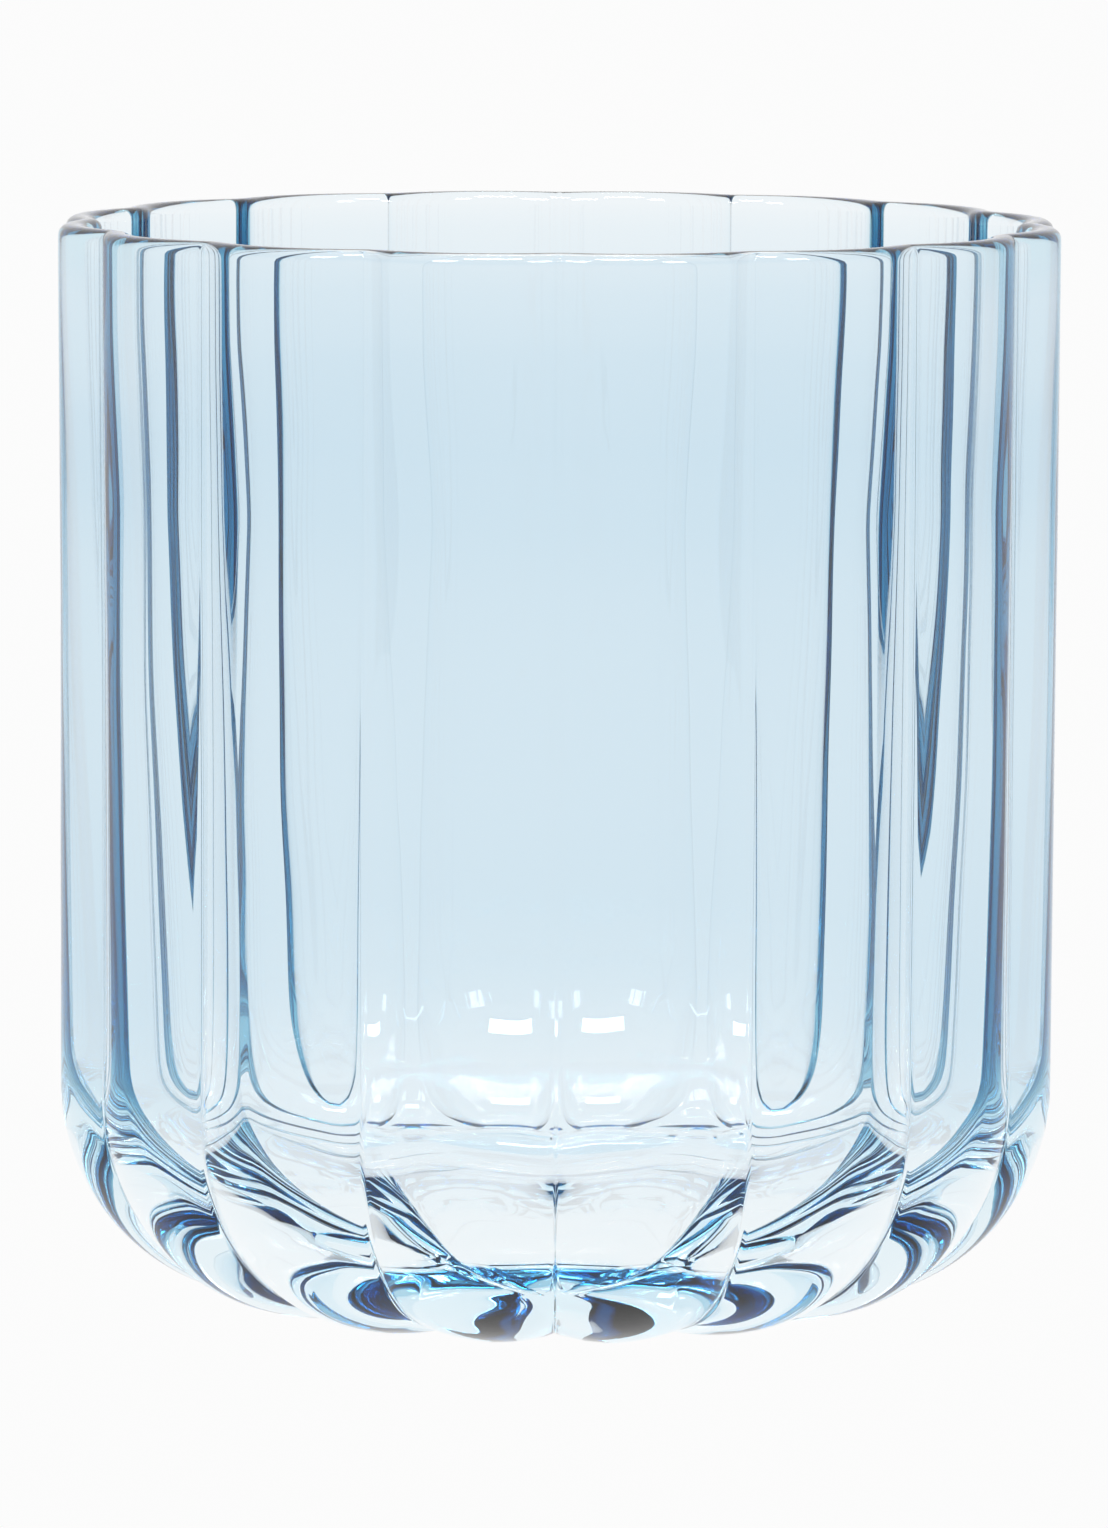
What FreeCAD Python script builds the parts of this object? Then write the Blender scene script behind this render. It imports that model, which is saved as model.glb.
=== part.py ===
import FreeCAD, Part
import Sketcher
import math
import os

# Fluted glass vase, one piece of pressed and fire-polished glass (mm).
# Frame: origin at the centre of the foot, +Z up, a valley between two flutes faces -Y.
#
# Outside: sixteen convex flutes.  Each one is a strip with a circular-arc crown that runs down the
# wall, turns under through a tight arc and a wider one, and fades out below the foot plane.
# Inside: a round well with sixteen shallow flutes behind the outer ones, so that the wall
# keeps nearly the same thickness, and a thick base.

V = FreeCAD.Vector
Rot = FreeCAD.Rotation
Pl = FreeCAD.Placement

doc = FreeCAD.newDocument("bud_vase")

# ---------------------------------------------------------------- driving dimensions
sheet = doc.addObject("Spreadsheet::Sheet", "Dimensions")
CELLS = [
    ("flute_count", 16.0, "flutes round the vase"),
    ("crown_radius", 40.0, "axis to the crest of a flute"),
    ("height", 86.0, "foot plane to the top of the lip"),
    ("flute_arc", 13.9, "radius of the crown of a flute"),
    ("flute_strip", 3.4, "depth of the strip that carries a crown"),
    ("core_depth", 2.6, "crest down to the round core"),
    ("turn_small", 17.5, "radius of the upper corner arc"),
    ("turn_large", 27.0, "radius of the lower corner arc"),
    ("turn_angle", 74.0, "degrees turned by the upper corner arc"),
    ("sink", 0.25, "how far the crests would pass below the foot plane"),
    ("hub_radius", 11.0, "flat middle of the core, inside the flute ends"),
    ("run_in", 8.0, "where a flute strip ends, from the axis"),
    ("wall_crest", 2.4, "wall behind a crest"),
    ("well_radius", 36.0, "round well, to the ridges between inner flutes"),
    ("inner_arc", 10.6, "radius of an inner flute"),
    ("inner_strip", 2.6, "depth of the strip that cuts an inner flute"),
    ("base_thick", 9.0, "thickness of the base at the middle"),
    ("well_turn", 14.0, "corner radius at the bottom of the well"),
    ("inner_turn", 15.6, "corner radius of an inner flute"),
    ("inner_run", 12.0, "where an inner flute ends, from the axis"),
    ("inner_lift", 0.3, "how far an inner flute stays above the floor of the well"),
    ("lip_round", 0.9, "rounding of the lip edges"),
]
for i, (name, value, note) in enumerate(CELLS, start=1):
    sheet.set("A%d" % i, name.replace("_", " "))
    sheet.set("B%d" % i, repr(value))
    sheet.set("C%d" % i, note)
    sheet.setAlias("B%d" % i, name)
doc.recompute()


def val(name):
    return float(getattr(sheet, name))


def plane(body, role):
    for feature in body.Origin.OriginFeatures:
        if feature.Role == role:
            return feature
    raise RuntimeError("no plane " + role)


def new_sketch(body, name, role, offset=None):
    sk = body.newObject("Sketcher::SketchObject", name)
    sk.AttachmentSupport = [(plane(body, role), "")]
    sk.MapMode = "FlatFace"
    if offset is not None:
        sk.AttachmentOffset = offset
    return sk


def axis_plane(name, role, angle=0.0, lift=0.0):
    # a sketch on an origin plane, turned about Z by angle and lifted along Z
    if role == "XY_Plane":
        off = Pl(V(0, 0, lift), Rot(V(0, 0, 1), angle))
    else:
        off = Pl(V(0, 0, 0), Rot(V(0, 1, 0), angle))
    return new_sketch(body, name, role, off)


def seg(sk, a, b):
    return sk.addGeometry(Part.LineSegment(V(a[0], a[1], 0), V(b[0], b[1], 0)), False)


def arc(sk, c, r, a0, a1):
    return sk.addGeometry(Part.ArcOfCircle(Part.Circle(V(c[0], c[1], 0), V(0, 0, 1), r), a0, a1), False)


# ---------------------------------------------------------------- the body
body = doc.addObject("PartDesign::Body", "vase_body")
body.Label = "vase_body"
body.Placement = Pl(V(0, 0, 0), Rot())
doc.recompute()

K = Sketcher.Constraint
START, END, CENTRE = 1, 2, 3
half_pitch = 180.0 / val("flute_count")


def bind(sk, index, name, expression):
    sk.renameConstraint(index, name)
    sk.setExpression("Constraints." + name, expression)


def turned_path(sk, crest, top, floor, small, large, angle, inner_end, exprs):
    """Open path in the r-z plane: down the wall, two tangent arcs, then level towards the axis.

    exprs holds the sheet expressions for crest, top, floor, small, large, angle, inner_end;
    large and angle are None for a path with one arc."""
    a = math.radians(angle) if angle else math.pi / 2
    if angle:
        z1 = floor + large - (large - small) * math.sin(a)
    else:
        z1 = floor + small
    c1 = (crest - small, z1)
    p1 = (crest, z1)
    p2 = (c1[0] + small * math.cos(a), c1[1] - small * math.sin(a))
    ids = [seg(sk, (crest, top), p1), arc(sk, c1, small, -a, 0.0)]
    if angle:
        c2 = (c1[0] - (large - small) * math.cos(a), floor + large)
        ids.append(arc(sk, c2, large, -math.pi / 2, -a))
        p3 = (c2[0], floor)
    else:
        p3 = (c1[0], floor)
    ids.append(seg(sk, p3, (inner_end, floor)))
    add = sk.addConstraint
    wall, first, last = ids[0], ids[1], ids[-1]
    add(K("Vertical", wall))
    add(K("Tangent", wall, END, first, END))
    if angle:
        second = ids[2]
        add(K("Tangent", first, START, second, END))
        add(K("Tangent", second, START, last, START))
    else:
        add(K("Tangent", first, START, last, START))
    add(K("Horizontal", last))
    bind(sk, add(K("DistanceX", -1, 1, wall, START, crest)), "crestPlace", exprs[0])
    bind(sk, add(K("DistanceY", -1, 1, wall, START, top)), "topPlace", exprs[1])
    if floor >= 0:
        bind(sk, add(K("DistanceY", -1, 1, last, END, floor)), "floorPlace", exprs[2])
    else:
        bind(sk, add(K("DistanceY", last, END, -1, 1, -floor)), "floorPlace", exprs[2])
    bind(sk, add(K("Radius", first, small)), "smallTurn", exprs[3])
    if angle:
        bind(sk, add(K("Radius", second, large)), "largeTurn", exprs[4])
        bind(sk, add(K("DistanceX", -1, 1, second, CENTRE, c2[0])), "turnPlace", exprs[5])
    bind(sk, add(K("DistanceX", -1, 1, last, END, inner_end)), "runPlace", exprs[6])
    return ids


def crown(sk, crest, rad, strip, exprs):
    """Closed circular segment: a crown arc and the chord behind it, in a plane square to Z."""
    phi = math.acos((rad - strip) / rad)
    y = rad * math.sin(phi)
    x = crest - strip
    a = arc(sk, (crest - rad, 0), rad, -phi, phi)
    b = seg(sk, (x, y), (x, -y))
    add = sk.addConstraint
    add(K("Coincident", a, END, b, START))
    add(K("Coincident", a, START, b, END))
    add(K("Vertical", b))
    add(K("PointOnObject", a, CENTRE, -1))
    bind(sk, add(K("Radius", a, rad)), "crownRadius", exprs[0])
    bind(sk, add(K("DistanceX", -1, 1, a, CENTRE, crest - rad)), "crownCentre", exprs[1])
    bind(sk, add(K("DistanceX", -1, 1, b, START, x)), "chordPlace", exprs[2])


def closed_profile(sk, items):
    """items: ("l", a, b) lines and ("a", c, r, a0, a1) arcs, in order round the outline."""
    ids = []
    for it in items:
        ids.append(seg(sk, it[1], it[2]) if it[0] == "l" else arc(sk, *it[1:]))
    return ids


D = "Dimensions."
crest = val("crown_radius")
high = val("height")
sink = val("sink")
small, large, ang = val("turn_small"), val("turn_large"), val("turn_angle")
A = math.radians(ang)

# round core: revolved outline that stays just inside the valleys between flutes
dep = val("core_depth")
rs, rl = small - dep, large - dep
z1 = -sink + large - (large - small) * math.sin(A)
c1 = (crest - small, z1)
c2 = (c1[0] - (large - small) * math.cos(A), -sink + large)
hub = val("hub_radius")
floor = -sink + dep
core = new_sketch(body, "core_outline", "XZ_Plane")
P = [(0, 0), (hub, 0), (hub, floor), (c2[0], floor)]
g = closed_profile(core, [
    ("l", P[0], P[1]), ("l", P[1], P[2]), ("l", P[2], P[3]),
    ("a", c2, rl, -math.pi / 2, -A), ("a", c1, rs, -A, 0.0),
    ("l", (crest - dep, z1), (crest - dep, high)), ("l", (crest - dep, high), (0, high)),
    ("l", (0, high), (0, 0))])
add = core.addConstraint
add(K("Coincident", g[0], START, -1, 1))
add(K("Coincident", g[0], END, g[1], START))
add(K("Coincident", g[1], END, g[2], START))
add(K("Tangent", g[2], END, g[3], START))
add(K("Tangent", g[3], END, g[4], START))
add(K("Tangent", g[4], END, g[5], START))
add(K("Coincident", g[5], END, g[6], START))
add(K("Coincident", g[6], END, g[7], START))
add(K("Coincident", g[7], END, g[0], START))
for k, n in (("Horizontal", 0), ("Vertical", 1), ("Horizontal", 2), ("Vertical", 5), ("Horizontal", 6), ("Vertical", 7)):
    add(K(k, g[n]))
bind(core, add(K("DistanceX", g[0], START, g[0], END, hub)), "hub", D + "hub_radius")
bind(core, add(K("DistanceY", g[1], START, g[1], END, floor)), "floor", D + "core_depth - " + D + "sink")
bind(core, add(K("Radius", g[3], rl)), "rl", D + "turn_large - " + D + "core_depth")
bind(core, add(K("Radius", g[4], rs)), "rs", D + "turn_small - " + D + "core_depth")
bind(core, add(K("DistanceX", -1, 1, g[3], CENTRE, c2[0])), "c2x",
     D + "crown_radius - " + D + "turn_small - (" + D + "turn_large - " + D + "turn_small) * cos(" + D + "turn_angle * 1 deg)")
bind(core, add(K("DistanceX", -1, 1, g[5], END, crest - dep)), "rw", D + "crown_radius - " + D + "core_depth")
bind(core, add(K("DistanceY", -1, 1, g[5], END, high)), "high", D + "height")
doc.recompute()

rev = body.newObject("PartDesign::Revolution", "core")
rev.Profile = core
rev.ReferenceAxis = (core, ["V_Axis"])
rev.Angle = 360.0
body.Tip = rev
doc.recompute()
print("core", rev.Shape.isValid(), round(rev.Shape.Volume, 1))

# one flute strip, then sixteen of them
spine = axis_plane("flute_spine", "XZ_Plane", half_pitch)
turned_path(spine, crest, high, -sink, small, large, ang, val("run_in"),
            [D + "crown_radius", D + "height", D + "sink", D + "turn_small", D + "turn_large",
             D + "crown_radius - " + D + "turn_small - (" + D + "turn_large - " + D + "turn_small) * cos(" + D + "turn_angle * 1 deg)",
             D + "run_in"])
head = axis_plane("flute_crown", "XY_Plane", half_pitch, high)
crown(head, crest, val("flute_arc"), val("flute_strip"),
      [D + "flute_arc", D + "crown_radius - " + D + "flute_arc", D + "crown_radius - " + D + "flute_strip"])
head.setExpression(".AttachmentOffset.Base.z", D + "height")
doc.recompute()
flute = body.newObject("PartDesign::AdditivePipe", "flute")
flute.Profile = head
flute.Spine = (spine, ["Edge%d" % (i + 1) for i in range(4)])
flute.Mode = "Frenet"
body.Tip = flute
doc.recompute()
print("flute", flute.Shape.isValid(), round(flute.Shape.Volume, 1), flute.State)

ring = body.newObject("PartDesign::PolarPattern", "flutes")
ring.Originals = [flute]
ring.Axis = (head, ["N_Axis"])
ring.Angle = 360
ring.Occurrences = int(val("flute_count"))
ring.setExpression("Occurrences", D + "flute_count")
body.Tip = ring
doc.recompute()
print("flutes", ring.Shape.isValid(), round(ring.Shape.Volume, 1), ring.State, len(ring.Shape.Faces))

# level foot: everything below the foot plane is taken off
foot = new_sketch(body, "foot_cut", "XY_Plane")
fc = foot.addGeometry(Part.Circle(V(0, 0, 0), V(0, 0, 1), crest + 5), False)
foot.addConstraint(K("Coincident", fc, CENTRE, -1, 1))
bind(foot, foot.addConstraint(K("Radius", fc, crest + 5)), "footCut", D + "crown_radius + 5")
doc.recompute()
before = ring.Shape.Volume
level = body.newObject("PartDesign::Pocket", "level_foot")
level.Profile = foot
level.Type = 0
level.Length = 5.0
level.Reversed = False
body.Tip = level
doc.recompute()
if not 1.0 < before - level.Shape.Volume < 2000.0:
    raise RuntimeError("the foot cut took off %.1f" % (before - level.Shape.Volume))
print("foot", level.Shape.isValid(), round(level.Shape.Volume, 1), len(level.Shape.Faces))

# the well: a groove turned about the axis
well_r, base, wt = val("well_radius"), val("base_thick"), val("well_turn")
over = 1.0
well = new_sketch(body, "well_outline", "XZ_Plane")
g = closed_profile(well, [
    ("l", (0, base), (well_r - wt, base)),
    ("a", (well_r - wt, base + wt), wt, -math.pi / 2, 0.0),
    ("l", (well_r, base + wt), (well_r, high + over)),
    ("l", (well_r, high + over), (0, high + over)),
    ("l", (0, high + over), (0, base))])
add = well.addConstraint
add(K("PointOnObject", g[0], START, -2))
add(K("Tangent", g[0], END, g[1], START))
add(K("Tangent", g[1], END, g[2], START))
add(K("Coincident", g[2], END, g[3], START))
add(K("Coincident", g[3], END, g[4], START))
add(K("Coincident", g[4], END, g[0], START))
for k, n in (("Horizontal", 0), ("Vertical", 2), ("Horizontal", 3), ("Vertical", 4)):
    add(K(k, g[n]))
bind(well, add(K("DistanceY", -1, 1, g[0], START, base)), "baseThick", D + "base_thick")
bind(well, add(K("Radius", g[1], wt)), "wellTurn", D + "well_turn")
bind(well, add(K("DistanceX", -1, 1, g[2], END, well_r)), "wellRadius", D + "well_radius")
bind(well, add(K("DistanceY", -1, 1, g[2], END, high + over)), "wellTop", D + "height + 1")
doc.recompute()
before = level.Shape.Volume
bore = body.newObject("PartDesign::Groove", "well")
bore.Profile = well
bore.ReferenceAxis = (well, ["V_Axis"])
bore.Angle = 360.0
body.Tip = bore
doc.recompute()
expect = math.pi * well_r ** 2 * (high - base)
if not 0.9 * expect < before - bore.Shape.Volume < expect:
    raise RuntimeError("the well took off %.1f" % (before - bore.Shape.Volume))
print("well", bore.Shape.isValid(), round(bore.Shape.Volume, 1), len(bore.Shape.Faces))

# sixteen shallow flutes in the wall of the well
lift = val("inner_lift")
in_crest = crest - val("wall_crest")
inner_spine = axis_plane("inner_spine", "XZ_Plane", half_pitch)
turned_path(inner_spine, in_crest, high + over, base + lift, val("inner_turn"), None, None, val("inner_run"),
            [D + "crown_radius - " + D + "wall_crest", D + "height + 1", D + "base_thick + " + D + "inner_lift",
             D + "inner_turn", None, None, D + "inner_run"])
inner_head = axis_plane("inner_crown", "XY_Plane", half_pitch, high + over)
crown(inner_head, in_crest, val("inner_arc"), val("inner_strip"),
      [D + "inner_arc", D + "crown_radius - " + D + "wall_crest - " + D + "inner_arc",
       D + "crown_radius - " + D + "wall_crest - " + D + "inner_strip"])
inner_head.setExpression(".AttachmentOffset.Base.z", D + "height + 1")
doc.recompute()
before = bore.Shape.Volume
scoop = body.newObject("PartDesign::SubtractivePipe", "inner_flute")
scoop.Profile = inner_head
scoop.Spine = (inner_spine, ["Edge%d" % (i + 1) for i in range(3)])
scoop.Mode = "Frenet"
body.Tip = scoop
doc.recompute()
print("scoop", scoop.Shape.isValid(), round(before - scoop.Shape.Volume, 1), scoop.State)
one = before - scoop.Shape.Volume

inner_ring = body.newObject("PartDesign::PolarPattern", "inner_flutes")
inner_ring.Originals = [scoop]
inner_ring.Axis = (inner_head, ["N_Axis"])
inner_ring.Angle = 360
inner_ring.Occurrences = int(val("flute_count"))
inner_ring.setExpression("Occurrences", D + "flute_count")
body.Tip = inner_ring
doc.recompute()
took = before - inner_ring.Shape.Volume
if not one * 10 < took < one * 16.5:
    raise RuntimeError("the inner flutes took off %.1f" % took)
print("inner flutes", inner_ring.Shape.isValid(), round(inner_ring.Shape.Volume, 1), len(inner_ring.Shape.Faces))

# fire-polished lip: both edges of the rim are rounded
rim_edges = []
for i, e in enumerate(inner_ring.Shape.Edges, start=1):
    box = e.BoundBox
    if abs(box.ZMin - high) < 1e-4 and abs(box.ZMax - high) < 1e-4:
        rim_edges.append("Edge%d" % i)
print("rim edges", len(rim_edges))
lip = body.newObject("PartDesign::Fillet", "lip")
lip.Base = (inner_ring, rim_edges)
lip.Radius = val("lip_round")
lip.setExpression("Radius", D + "lip_round")
body.Tip = lip
doc.recompute()
print("lip", lip.State, lip.Shape.isValid() if not lip.Shape.isNull() else None, round(lip.Shape.Volume, 1))

# ---------------------------------------------------------------- check and write
for obj in doc.Objects:
    state = [w for w in obj.State if w in ("Invalid", "Error")]
    if state:
        raise RuntimeError("%s is %s" % (obj.Name, state))
parts = [o for o in doc.Objects if o.isDerivedFrom("PartDesign::Body")]
for part in parts:
    shape = part.Shape
    if shape.isNull() or not shape.isValid() or shape.Volume <= 0:
        raise RuntimeError("%s has no valid shape" % part.Label)
    if len(shape.Solids) != 1:
        raise RuntimeError("%s has %d solids" % (part.Label, len(shape.Solids)))
os.makedirs("parts", exist_ok=True)
for part in parts:
    part.Shape.exportStep("parts/%s.step" % part.Label)
    b = part.Shape.BoundBox
    print("%s: %.1f mm3, box %.3f %.3f %.3f to %.3f %.3f %.3f" % (
        part.Label, part.Shape.Volume, b.XMin, b.YMin, b.ZMin, b.XMax, b.YMax, b.ZMax))
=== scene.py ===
import bpy
import math
import numpy as np
from mathutils import Matrix, Vector


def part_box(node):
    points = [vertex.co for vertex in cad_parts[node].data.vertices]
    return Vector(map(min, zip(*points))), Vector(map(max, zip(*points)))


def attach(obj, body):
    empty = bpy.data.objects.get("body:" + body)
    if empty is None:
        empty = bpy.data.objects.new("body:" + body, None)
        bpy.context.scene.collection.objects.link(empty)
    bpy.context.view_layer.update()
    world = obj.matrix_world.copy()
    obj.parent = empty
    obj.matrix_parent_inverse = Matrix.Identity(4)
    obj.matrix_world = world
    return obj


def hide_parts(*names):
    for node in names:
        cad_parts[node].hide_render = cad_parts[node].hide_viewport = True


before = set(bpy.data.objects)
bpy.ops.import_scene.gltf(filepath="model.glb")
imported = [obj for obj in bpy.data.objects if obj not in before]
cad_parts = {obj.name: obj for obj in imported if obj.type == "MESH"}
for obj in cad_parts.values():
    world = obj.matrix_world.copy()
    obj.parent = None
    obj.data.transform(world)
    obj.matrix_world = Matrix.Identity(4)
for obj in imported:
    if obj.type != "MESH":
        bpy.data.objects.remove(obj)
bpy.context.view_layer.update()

MM = 0.001
sc = bpy.context.scene
lo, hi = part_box("vase_body")
HEIGHT = (hi[2] - lo[2]) / MM          # 86 mm

# ------------------------------------------------------------------ camera
# Long lens, a little above the vase and turned a hair so that the rim sits as it does in the reference view.
FOCAL_PX = 8491.7                      # focal length in pixels of the 1528 pixel tall frame
DIST, ELEV, AIM_Z = 680.0, math.radians(7.355), 42.48
ROLL = math.radians(0.25)
cam_data = bpy.data.cameras.new("camera")
cam_data.sensor_fit = "VERTICAL"
cam_data.sensor_height = 36.0
cam_data.sensor_width = 36.0
cam_data.lens = FOCAL_PX / 1528.0 * 36.0
cam_data.clip_start = 0.01
cam_data.clip_end = 50.0
cam = bpy.data.objects.new("camera", cam_data)
sc.collection.objects.link(cam)
aim = Vector((-0.26, 0.0, AIM_Z)) * MM
eye = Vector((-0.26, -DIST * math.cos(ELEV), AIM_Z + DIST * math.sin(ELEV))) * MM
look = (aim - eye).to_track_quat("-Z", "Y").to_matrix().to_4x4()
cam.matrix_world = Matrix.Translation(eye) @ look @ Matrix.Rotation(ROLL, 4, "Z")
sc.camera = cam

# ------------------------------------------------------------------ the glass
FLUTES = 16
HALF = math.pi / FLUTES
M = 24                                 # columns per flute
s_ = np.linspace(-1, 1, M, endpoint=False)
x_ = 0.25 * s_ + 0.75 * np.sin(0.5 * math.pi * s_)
# flute k has its crest at (k + 1/2) * 22.5 degrees and starts at a valley
theta = np.concatenate([(k + 0.5) * 2 * HALF + x_ * HALF for k in range(FLUTES)])
x_lobe = np.tile(x_, FLUTES)           # -1 .. 1 across each flute
NC = len(theta)


def lobe_curve(peak, rad, soft, x):
    """Depth of a softened scallop below its crest circle; x runs -1..1 across a flute."""
    rc = peak - rad
    u = x * HALF

    def arc(v):
        return rc * np.cos(v) + np.sqrt(np.maximum(rad ** 2 - (rc * np.sin(v)) ** 2, 0.0))

    a = arc(u)
    b = arc(np.where(u > 0, u - 2 * HALF, u + 2 * HALF))
    t = np.clip(0.5 + 0.5 * (a - b) / soft, 0, 1)
    r = b * (1 - t) + a * t + soft * t * (1 - t)
    return peak - r


def unit_curve(peak, rad, soft, x):
    d = lobe_curve(peak, rad, soft, x)
    top = lobe_curve(peak, rad, soft, np.array([0.0]))[0]
    deep = lobe_curve(peak, rad, soft, np.array([1.0 - 1e-9]))[0]
    return (d - top) / (deep - top), deep


# -- outside: wall, two corner arcs, foot
PEAK = 40.0
ARC_OUT = 13.9
SOFT_OUT = 0.10                         # how rounded the valleys are
R1, R2, TURN, SINK = 17.5, 27.0, math.radians(74.0), 0.25
g_out, deep_out = unit_curve(PEAK, ARC_OUT, SOFT_OUT, x_lobe)


def meridian_out():
    """Crest line from the lip shoulder down to the middle of the foot: r, z, t (turn of the normal)."""
    z1 = -SINK + R2 - (R2 - R1) * math.sin(TURN)
    c1 = (PEAK - R1, z1)
    c2 = (c1[0] - (R2 - R1) * math.cos(TURN), R2 - SINK)
    rows = []
    for z in np.linspace(HEIGHT - LIP, z1, 34, endpoint=False):
        rows.append((PEAK, z, 0.0))
    for t in np.linspace(0, TURN, 46, endpoint=False):
        rows.append((c1[0] + R1 * math.cos(t), c1[1] - R1 * math.sin(t), t))
    for t in np.linspace(TURN, math.pi / 2, 18, endpoint=False):
        rows.append((c2[0] + R2 * math.cos(t), c2[1] - R2 * math.sin(t), t))
    for r in np.linspace(c2[0], 0.6, 12):
        rows.append((r, -SINK, math.pi / 2))
    return np.array(rows)


def valley_depth(r, t):
    """How far a valley lies below the crest line, along the crest's normal, as the flutes close up."""
    rc = r - ARC_OUT * np.cos(t)
    tn = math.tan(HALF)
    ph = np.full_like(r, 0.3)
    for _ in range(60):
        f = ARC_OUT * np.sin(ph) - (rc + ARC_OUT * np.cos(ph) * np.cos(t)) * tn
        df = ARC_OUT * np.cos(ph) + ARC_OUT * np.sin(ph) * np.cos(t) * tn
        ph = np.clip(ph - f / df, 0, 1.5)
    flat = rc + ARC_OUT * np.cos(ph) * np.cos(t)
    return ARC_OUT * (1 - np.cos(ph)) - (1 / math.cos(HALF) - 1) * flat * np.cos(t)


LIP = 1.05                             # height of the rounded lip
BASE = 7.0                             # thickness of the base, at the edge of the floor
# -- inside: the wall thickens a little downwards, turns with a round corner into the floor
IN_WALL = [(0.0, 4.6), (20.0, 4.0), (35.0, 3.6), (50.0, 3.2), (65.0, 3.0), (78.0, 2.45), (86.0, 2.35)]
IN_TURN = 24.0                         # inner corner, sideways
IN_RISE = 13.5                         # inner corner, upwards
IN_POW = 2.0                           # 2 is round, more is squarer
DISH = -2.5                            # how far the floor sinks in the middle; below zero it rises
# height -> radius of an inner flute's arc, softness of the ridges between the flutes
IN_ARC = [(8.0, 11.5, 2.9), (35.0, 11.2, 2.9), (50.0, 10.65, 2.9), (65.0, 9.6, 2.7), (78.0, 10.7, 2.0), (90.0, 10.9, 1.9)]
FINE_OUT = 0.012                       # fine ripple of the outside
STREAK = 0.006                         # upright drag lines of the mould
NOTCH = 0.060                          # depth of the fine line down each valley
FINE_IN = 0.020                        # finer ripple of the inside
IN_FADE = 2.0                          # how soon the inner flutes run out in the corner


def meridian_in():
    """Crest line of the inner flutes from the lip to the middle of the floor: r, z, t."""
    zs, ws = [q[0] for q in IN_WALL], [q[1] for q in IN_WALL]
    zc = BASE + IN_RISE
    pts = []
    for z in np.linspace(HEIGHT - LIP, zc, 60, endpoint=False):
        pts.append((PEAK - float(np.interp(z, zs, ws)), z))
    rc = PEAK - float(np.interp(zc, zs, ws))
    for a in np.linspace(0, math.pi / 2, 40, endpoint=False):
        c, s = math.cos(a) ** (2 / IN_POW), math.sin(a) ** (2 / IN_POW)
        pts.append((rc - IN_TURN * (1 - c), zc - IN_RISE * s))
    rf = rc - IN_TURN
    for q in np.linspace(0, 1, 14):
        r = rf + (0.6 - rf) * q
        pts.append((r, BASE - DISH * (1 - (r / rf) ** 2)))
    P = np.array(pts)
    # even out the corners between the stretches, then read the turn from the line itself
    for _ in range(6):
        P[1:-1] = 0.25 * P[:-2] + 0.5 * P[1:-1] + 0.25 * P[2:]
    T = np.gradient(P, axis=0)
    T /= np.linalg.norm(T, axis=1, keepdims=True)
    t = np.arctan2(-T[:, 0], -T[:, 1])
    return [(r, z, a) for (r, z), a in zip(P, t)]


def streaks(th, z, seed, amp):
    """Fine upright drag lines left by the mould."""
    rng = np.random.default_rng(seed)
    out = np.zeros(np.broadcast(th, z).shape)
    for _ in range(26):
        n = int(rng.integers(18, 64))
        k = rng.uniform(0.0, 0.05)
        p, q = rng.uniform(0, 2 * math.pi, 2)
        out = out + rng.uniform(0.3, 1.0) * np.sin(n * th + p) * np.cos(k * z + q)
    return amp * out / 4.0


def wave(th, z, seed, amp, tight=1.0):
    """Slow, even unevenness of hand-finished glass: a few long waves round and up the wall."""
    rng = np.random.default_rng(seed)
    out = np.zeros(np.broadcast(th, z).shape)
    for _ in range(9):
        n = int(rng.integers(1, 9))
        k = rng.uniform(0.01, 0.09) * tight
        p, q = rng.uniform(0, 2 * math.pi, 2)
        a = rng.uniform(0.4, 1.0) / (1.0 + 0.25 * n)
        out = out + a * np.sin(n * th + p) * np.sin(k * z + q)
    return amp * out


rows_xyz = []
mo = meridian_out()
dv = valley_depth(mo[:, 0], mo[:, 2])
dv *= deep_out / dv[0]
out_rows = []
valley_bead = np.exp(-(((1 - np.abs(x_lobe)) / 0.014) ** 2))     # the mould's own fine line down each valley
for (r, z, t), d in zip(mo, dv):
    D = d * g_out + NOTCH * valley_bead * (0.3 + 0.7 * math.cos(t))
    rr = r - D * math.cos(t)
    zz = z + D * math.sin(t)
    fade = math.cos(t) ** 2
    rr = rr + (wave(theta, z, 11, 0.055) + wave(theta, z, 12, FINE_OUT, 6.0) + streaks(theta, z, 13, STREAK)) * fade
    out_rows.append((rr, np.maximum(zz, 0.0)))
mi = meridian_in()
in_rows = []
for r, z, t in mi:
    keep = max(0.0, math.cos(t)) ** IN_FADE
    ra = float(np.interp(z, [q[0] for q in IN_ARC], [q[1] for q in IN_ARC]))
    so = float(np.interp(z, [q[0] for q in IN_ARC], [q[2] for q in IN_ARC]))
    g_in, deep_in = unit_curve(max(r, 34.0), ra, so, x_lobe)
    D = deep_in * keep * g_in
    rr = r - D * math.cos(t)
    zz = z + D * math.sin(t)
    rr = rr + (wave(theta, z, 23, 0.07) + wave(theta, z, 24, FINE_IN, 7.0)) * math.cos(t) ** 2
    zz = zz + wave(theta, r, 31, 0.10) * math.sin(t) ** 2 * min(1.0, r / 20.0)
    in_rows.append((rr, zz))
# -- lip: a superellipse from the outer wall over to the inner wall
ro, ri = out_rows[0][0], in_rows[0][0]
mid, halfw = (ro + ri) / 2, (ro - ri) / 2
lip_rows = []
for a in np.linspace(0, math.pi, 21)[1:-1]:
    c, s = math.cos(a), math.sin(a)
    e = 2.0 / 2.5
    lip_rows.append((mid + halfw * math.copysign(abs(c) ** e, c), np.full(NC, HEIGHT - LIP) + LIP * abs(s) ** e))

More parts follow.
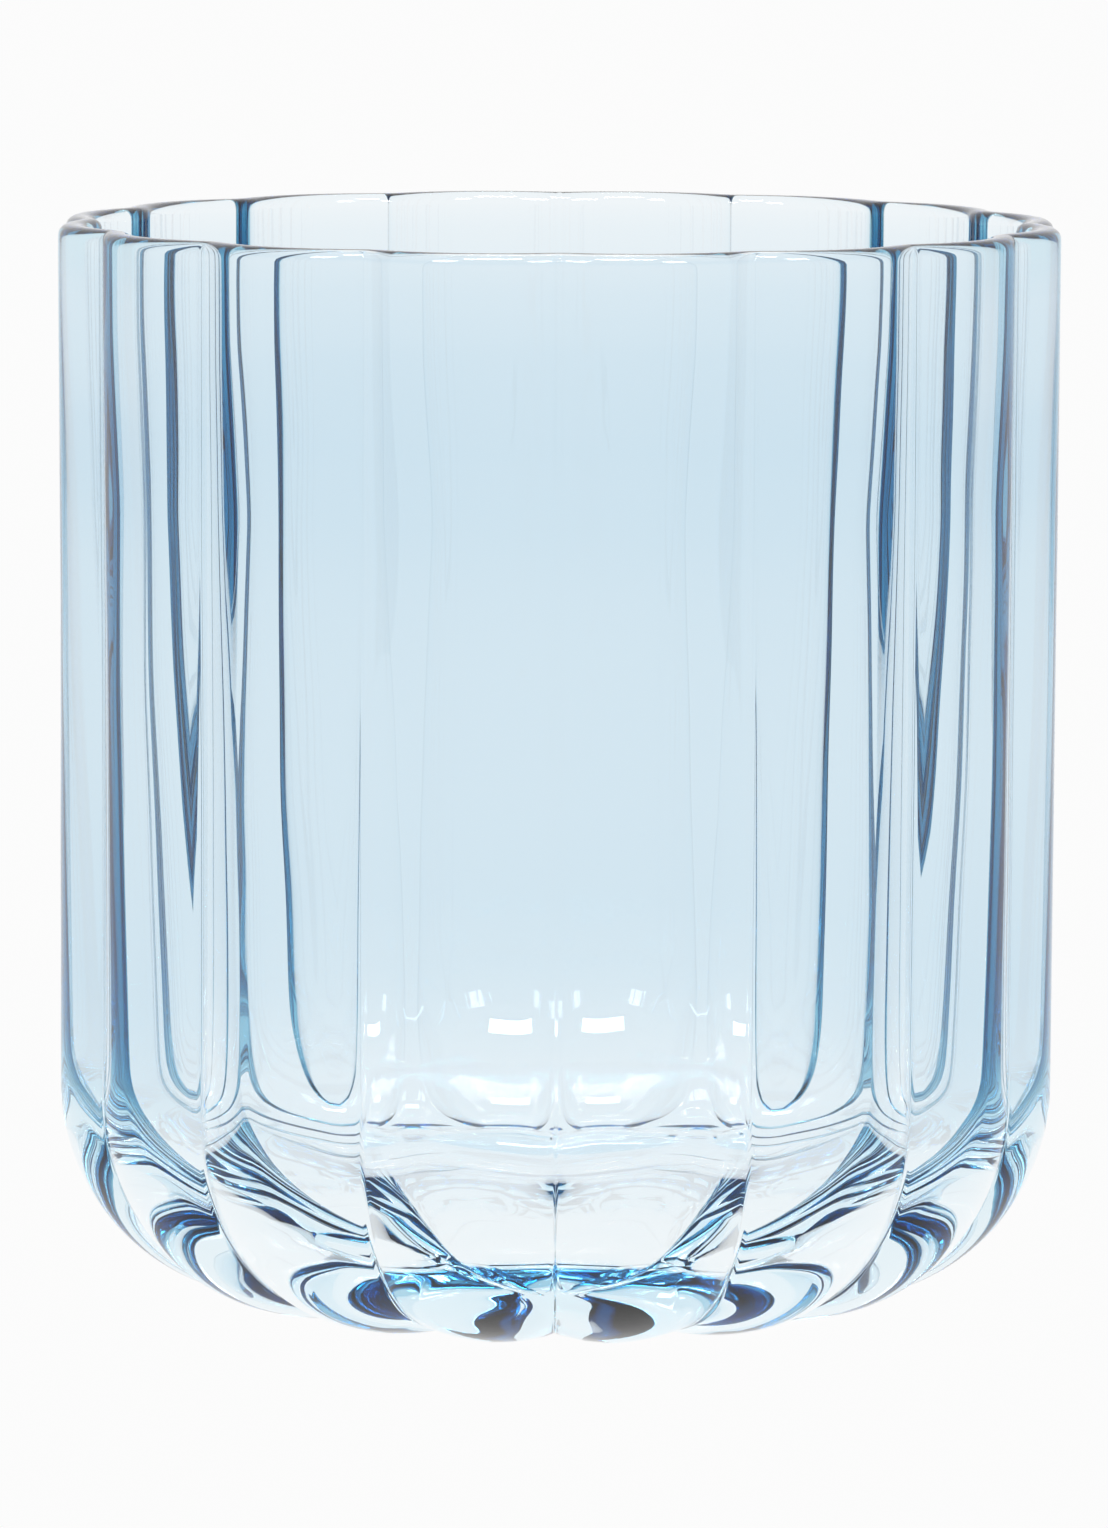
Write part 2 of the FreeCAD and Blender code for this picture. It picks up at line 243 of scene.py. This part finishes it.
order = out_rows[::-1] + lip_rows + in_rows      # foot -> wall -> lip -> well -> floor
NR = len(order)
R = np.array([o[0] for o in order])
Z = np.array([np.broadcast_to(o[1], (NC,)) for o in order])
X = R * np.cos(theta)[None, :]
Y = R * np.sin(theta)[None, :]
verts = np.stack([X, Y, Z], -1).reshape(-1, 3) * MM
bottom = len(verts)
verts = np.vstack([verts, [[0, 0, float(Z[0].mean()) * MM]], [[0, 0, float(Z[-1].mean()) * MM]]])
i = np.arange(NR - 1)[:, None] * NC
j = np.arange(NC)[None, :]
jn = (j + 1) % NC
quads = np.stack([i + j, i + jn, i + NC + jn, i + NC + j], -1).reshape(-1, 4)
tris_b = np.stack([np.full(NC, bottom), (np.arange(NC) + 1) % NC, np.arange(NC)], -1)
last = (NR - 1) * NC
tris_t = np.stack([np.full(NC, bottom + 1), last + np.arange(NC), last + (np.arange(NC) + 1) % NC], -1)
mesh = bpy.data.meshes.new("vase_glass")
mesh.from_pydata(verts.tolist(), [], quads.tolist() + tris_b.tolist() + tris_t.tolist())
mesh.validate()
mesh.update()
for p in mesh.polygons:
    p.use_smooth = True
vase = bpy.data.objects.new("vase_glass", mesh)
sc.collection.objects.link(vase)

# ------------------------------------------------------------------ glass material
# The blue is a thin lustre on the outside: even on the wall, thinning at the lip and on the foot.
COAT = (0.915, 0.956, 0.979)           # what one coat lets through
COAT_OUT = [(0.0, 0.0), (9.0, 0.1), (20.0, 1.7), (26.0, 2.1), (45.0, 1.9), (60.0, 2.1), (66.0, 2.5), (71.0, 2.4), (74.0, 2.0), (82.0, 1.7), (86.0, 0.3)]
COAT_IN = [(0.0, 0.0), (81.0, 0.0), (86.0, 0.4)]
BODY_TINT = (0.30, 0.70, 0.86, 1.0)
BODY_DENSITY = 5.0
# what is left of light that bounces inside the wall: it runs through the layer at a slant and back
COAT_BOUNCE = (0.44, 0.71, 0.82)
level = np.zeros(len(verts))
zmm = verts[:, 2] / MM
rowidx = np.minimum(np.arange(len(verts)) // NC, NR - 1)
rowidx[-2], rowidx[-1] = 0, NR - 1
first_in = len(out_rows) + len(lip_rows) // 2
lo_, li_ = (np.interp(zmm, [q[0] for q in c], [q[1] for q in c]) for c in (COAT_OUT, COAT_IN))
level = np.where(rowidx < first_in, lo_, li_)
vth = np.arctan2(verts[:, 1], verts[:, 0])
level = level * (1.0 + wave(vth, zmm, 47, 0.035))
attr = mesh.attributes.new("lustre", "FLOAT", "POINT")
attr.data.foreach_set("value", (np.clip(level, 0, 3) / 3.0).astype(np.float32))

glass = bpy.data.materials.new("blue_glass")
glass.use_nodes = True
nt = glass.node_tree
nt.nodes.clear()
out = nt.nodes.new("ShaderNodeOutputMaterial")
g_at = nt.nodes.new("ShaderNodeAttribute")
g_at.attribute_name = "lustre"


def lustre(one, name):
    """Colour ramp over the lustre attribute: what is left of white light, one being what a level of 1 leaves."""
    r_ = nt.nodes.new("ShaderNodeValToRGB")
    r_.label = name
    cr = r_.color_ramp
    cr.interpolation = "LINEAR"
    cr.elements.remove(cr.elements[-1])
    cr.elements[0].position, cr.elements[0].color = 0.0, (1, 1, 1, 1)
    for k_ in (0.5, 1.0, 1.5, 2.0, 2.5, 3.0):
        cr.elements.new(k_ / 3.0).color = (one[0] ** k_, one[1] ** k_, one[2] ** k_, 1)
    nt.links.new(g_at.outputs["Fac"], r_.inputs[0])
    return r_.outputs[0]


IOR = 1.51
bend = nt.nodes.new("ShaderNodeBsdfRefraction")
bend.distribution = "BECKMANN"
bend.inputs["IOR"].default_value = IOR
bend.inputs["Roughness"].default_value = 0.0
nt.links.new(lustre(COAT, "lustre passed through"), bend.inputs["Color"])
mirror = nt.nodes.new("ShaderNodeBsdfAnisotropic")
mirror.inputs["Roughness"].default_value = 0.0
face = nt.nodes.new("ShaderNodeNewGeometry")
inner = nt.nodes.new("ShaderNodeMix")
inner.data_type = "RGBA"
nt.links.new(face.outputs["Backfacing"], inner.inputs[0])
inner.inputs[6].default_value = (1, 1, 1, 1)
nt.links.new(lustre(COAT_BOUNCE, "lustre seen in a bounce"), inner.inputs[7])
nt.links.new(inner.outputs[2], mirror.inputs["Color"])
fres = nt.nodes.new("ShaderNodeFresnel")
fres.inputs["IOR"].default_value = IOR
skin = nt.nodes.new("ShaderNodeMixShader")
nt.links.new(fres.outputs[0], skin.inputs[0])
nt.links.new(bend.outputs[0], skin.inputs[1])
nt.links.new(mirror.outputs[0], skin.inputs[2])
nt.links.new(skin.outputs[0], out.inputs["Surface"])
vol = nt.nodes.new("ShaderNodeVolumeAbsorption")
vol.inputs["Color"].default_value = BODY_TINT
vol.inputs["Density"].default_value = BODY_DENSITY
nt.links.new(vol.outputs[0], out.inputs["Volume"])
mesh.materials.append(glass)

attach(vase, "root")
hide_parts("vase_body")


# ------------------------------------------------------------------ world: plain soft white light from all round
world = bpy.data.worlds.new("studio")
sc.world = world
world.use_nodes = True
wt = world.node_tree
wt.nodes.clear()
w_out = wt.nodes.new("ShaderNodeOutputWorld")
w_bg = wt.nodes.new("ShaderNodeBackground")
wt.links.new(w_bg.outputs[0], w_out.inputs[0])
w_bg.inputs[0].default_value = (1, 1, 1, 1)
w_bg.inputs[1].default_value = 1.0

# ------------------------------------------------------------------ floor
bpy.ops.mesh.primitive_plane_add(size=1)
floor = bpy.context.object
floor.name = "floor"
floor.scale = (12, 12, 1)
floor.location = (0, 0, -0.00002)
fm = bpy.data.materials.new("white_table")
fm.use_nodes = True
ft = fm.node_tree
ft.nodes.clear()
f_out = ft.nodes.new("ShaderNodeOutputMaterial")
f_em = ft.nodes.new("ShaderNodeEmission")
ft.links.new(f_em.outputs[0], f_out.inputs[0])
FLOOR = 0.97                           # one plain value, the same for every ray
f_em.inputs[0].default_value = (FLOOR, FLOOR, FLOOR, 1)
f_em.inputs[1].default_value = 1.0
floor.data.materials.append(fm)


# ------------------------------------------------------------------ soft boxes, seen as highlights
def softbox(name, loc, target, size_x, size_y, power):
    ld = bpy.data.lights.new(name, "AREA")
    ld.shape = "RECTANGLE"
    ld.size, ld.size_y = size_x, size_y
    ld.energy = power
    ob = bpy.data.objects.new(name, ld)
    sc.collection.objects.link(ob)
    ob.location = loc
    ob.rotation_euler = (Vector(target) - Vector(loc)).to_track_quat("-Z", "Y").to_euler()
    return ob


SOFT = 0.65
softbox("softbox_top", (0.0, -0.45, 1.1), (0, 0, 0.04), 0.5, 0.25, 12 * SOFT)
softbox("softbox_left", (-0.6, -0.9, 0.9), (0, 0, 0.04), 0.3, 0.4, 6 * SOFT)
softbox("softbox_right", (0.6, -0.9, 0.9), (0, 0, 0.04), 0.3, 0.4, 6 * SOFT)

# ------------------------------------------------------------------ render look
sc.view_settings.view_transform = "Standard"
sc.view_settings.look = "None"
sc.view_settings.exposure = 0.0
sc.view_settings.gamma = 1.0
sc.cycles.max_bounces = 32
sc.cycles.transmission_bounces = 32
sc.cycles.glossy_bounces = 16
sc.cycles.diffuse_bounces = 2
sc.cycles.transparent_max_bounces = 16
sc.cycles.sample_clamp_indirect = 0
sc.cycles.caustics_reflective = True
sc.cycles.caustics_refractive = True
sc.cycles.blur_glossy = 0.0
sc.cycles.use_denoising = True
